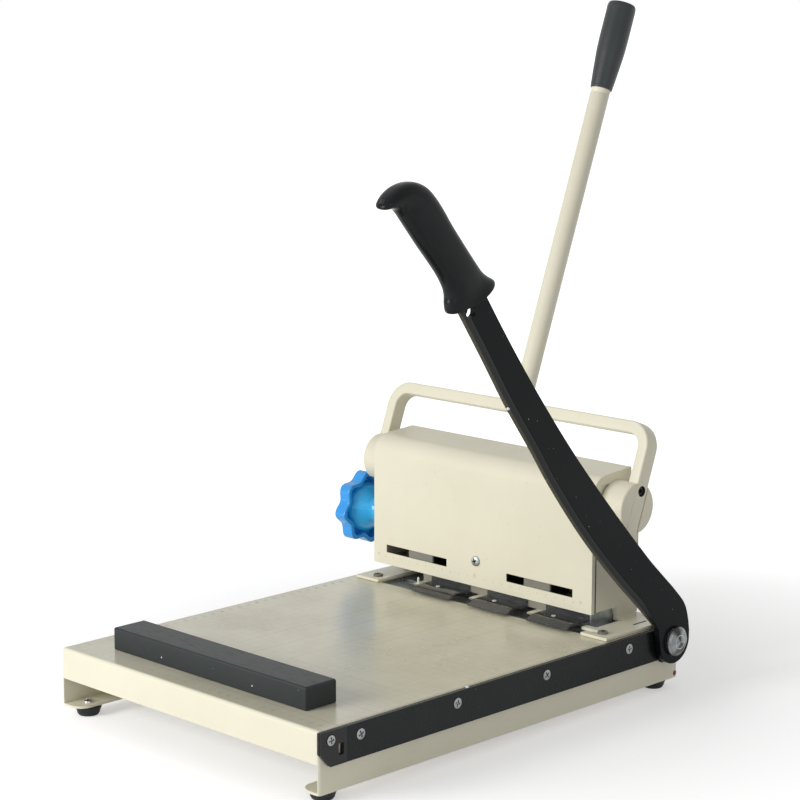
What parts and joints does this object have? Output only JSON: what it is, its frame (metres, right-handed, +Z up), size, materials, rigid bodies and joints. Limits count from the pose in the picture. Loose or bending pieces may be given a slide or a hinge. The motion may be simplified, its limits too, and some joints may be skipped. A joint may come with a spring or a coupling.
{
  "type": "three-hole punching and binding machine with paper cutter",
  "caption": "Cream steel manual binding machine: a hand-lever punch head with a blue spacing knob stands on a flat base that carries a black guillotine cutting arm.",
  "frame": {"origin": "middle of the whole machine's footprint, on the surface that its feet stand on", "axes": "+Z up, +Y from the front edge of the base towards the punch head at the back, +X right"},
  "size_m": [0.3466, 0.5328, 0.5644],
  "materials": {
    "cream_paint": "satin",
    "black_paint": "gloss",
    "black_plastic": "gloss",
    "dark_block": "satin",
    "rubber": "matte",
    "chrome": "polished",
    "zinc": "satin",
    "steel": "satin",
    "black_steel": "satin",
    "blue_plastic": "gloss",
    "smoked_plastic": "gloss",
    "clear_plastic": "satin",
    "pad_plastic": "matte"
  },
  "bodies": {
    "base": {"base_tray": "cream_paint", "rubber_foot_front_left": "rubber", "rubber_foot_rear_left": "rubber", "rubber_foot_front_right": "rubber", "rubber_foot_rear_right": "rubber", "knife_rail": "black_paint", "lock_plate": "black_steel", "lock_plate_screw": "chrome", "rail_screw_1": "chrome", "rail_screw_2": "chrome", "rail_screw_3": "chrome", "rail_screw_4": "chrome", "pivot_bracket": "black_steel", "pivot_bolt": "zinc", "spring_washer": "zinc", "pivot_nut": "chrome", "side_plate_left": "cream_paint", "side_plate_right": "cream_paint", "head_screw_left": "zinc", "head_screw_right": "zinc", "head_block_left": "zinc", "head_block_right": "zinc", "head_cover": "cream_paint", "cover_screw": "zinc", "rear_cover": "cream_paint", "guide_column_left": "chrome", "guide_column_right": "chrome", "return_spring_left": "steel", "return_spring_right": "steel", "guide_plate": "zinc", "centre_block": "black_steel", "die_bar": "zinc", "cutting_pad": "pad_plastic", "guard_left": "smoked_plastic", "guard_centre": "smoked_plastic", "guard_right": "smoked_plastic", "guard_bracket": "cream_paint"},
    "lever": {"lever_shaft": "steel", "hub_left": "cream_paint", "hub_right": "cream_paint", "hub_screw_left": "black_steel", "hub_screw_right": "black_steel", "lever_frame": "cream_paint", "lever_tube": "cream_paint", "lever_grip": "rubber"},
    "beam": {"punch_beam": "steel", "rack_left": "steel", "rack_right": "steel"},
    "centre_punch": {"punch_centre": "steel"},
    "spindle": {"spacing_spindle": "steel", "spacing_knob": "blue_plastic"},
    "left_carrier": {"carrier_left": "black_steel", "pointer_left": "clear_plastic"},
    "right_carrier": {"carrier_right": "black_steel", "pointer_right": "clear_plastic"},
    "left_punch": {"punch_left": "steel"},
    "right_punch": {"punch_right": "steel"},
    "blade": {"blade_arm": "black_paint", "arm_handle": "black_plastic"},
    "stop": {"paper_stop": "dark_block"}
  },
  "joints": [
    {"name": "lever_swing", "type": "hinge", "parent": "base", "child": "lever", "pos_m": [-0.00865, 0.10465, 0.157], "axis": [1, 0, 0], "range_deg": [0, 70], "stiffness_Nm_per_rad": 1.2, "springref_deg": -57.3},
    {"name": "beam_drop", "type": "slide", "parent": "base", "child": "beam", "axis": [0, 0, -1], "range_m": [0, 0.0111], "deforming": ["return_spring_left", "return_spring_right"]},
    {"name": "centre_punch_drop", "type": "slide", "parent": "base", "child": "centre_punch", "axis": [0, 0, -1], "range_m": [0, 0.0111]},
    {"name": "left_punch_drop", "type": "slide", "parent": "left_carrier", "child": "left_punch", "axis": [0, 0, -1], "range_m": [0, 0.0111]},
    {"name": "right_punch_drop", "type": "slide", "parent": "right_carrier", "child": "right_punch", "axis": [0, 0, -1], "range_m": [0, 0.0111]},
    {"name": "knob_turn", "type": "hinge", "parent": "base", "child": "spindle", "pos_m": [-0.00865, 0.09655, 0.11], "axis": [1, 0, 0], "range_deg": [-1530, 2430]},
    {"name": "left_carrier_slide", "type": "slide", "parent": "base", "child": "left_carrier", "axis": [-1, 0, 0], "range_m": [-0.0171, 0.0271]},
    {"name": "right_carrier_slide", "type": "slide", "parent": "base", "child": "right_carrier", "axis": [1, 0, 0], "range_m": [-0.0171, 0.0271]},
    {"name": "blade_swing", "type": "hinge", "parent": "base", "child": "blade", "pos_m": [0.15815, 0.12925, 0.0449], "axis": [1, 0, 0], "range_deg": [-25, 48]},
    {"name": "stop_slide", "type": "slide", "parent": "base", "child": "stop", "axis": [0, 1, 0], "range_m": [-0.02, 0.25]}
  ],
  "couplings": [
    {"joint": "beam_drop", "follows": "lever_swing", "m_per_rad": 0.009},
    {"joint": "centre_punch_drop", "follows": "lever_swing", "m_per_rad": 0.009},
    {"joint": "left_punch_drop", "follows": "lever_swing", "m_per_rad": 0.009},
    {"joint": "right_punch_drop", "follows": "lever_swing", "m_per_rad": 0.009},
    {"joint": "left_carrier_slide", "follows": "knob_turn", "m_per_rad": 0.00063662},
    {"joint": "right_carrier_slide", "follows": "knob_turn", "m_per_rad": 0.00063662}
  ]
}
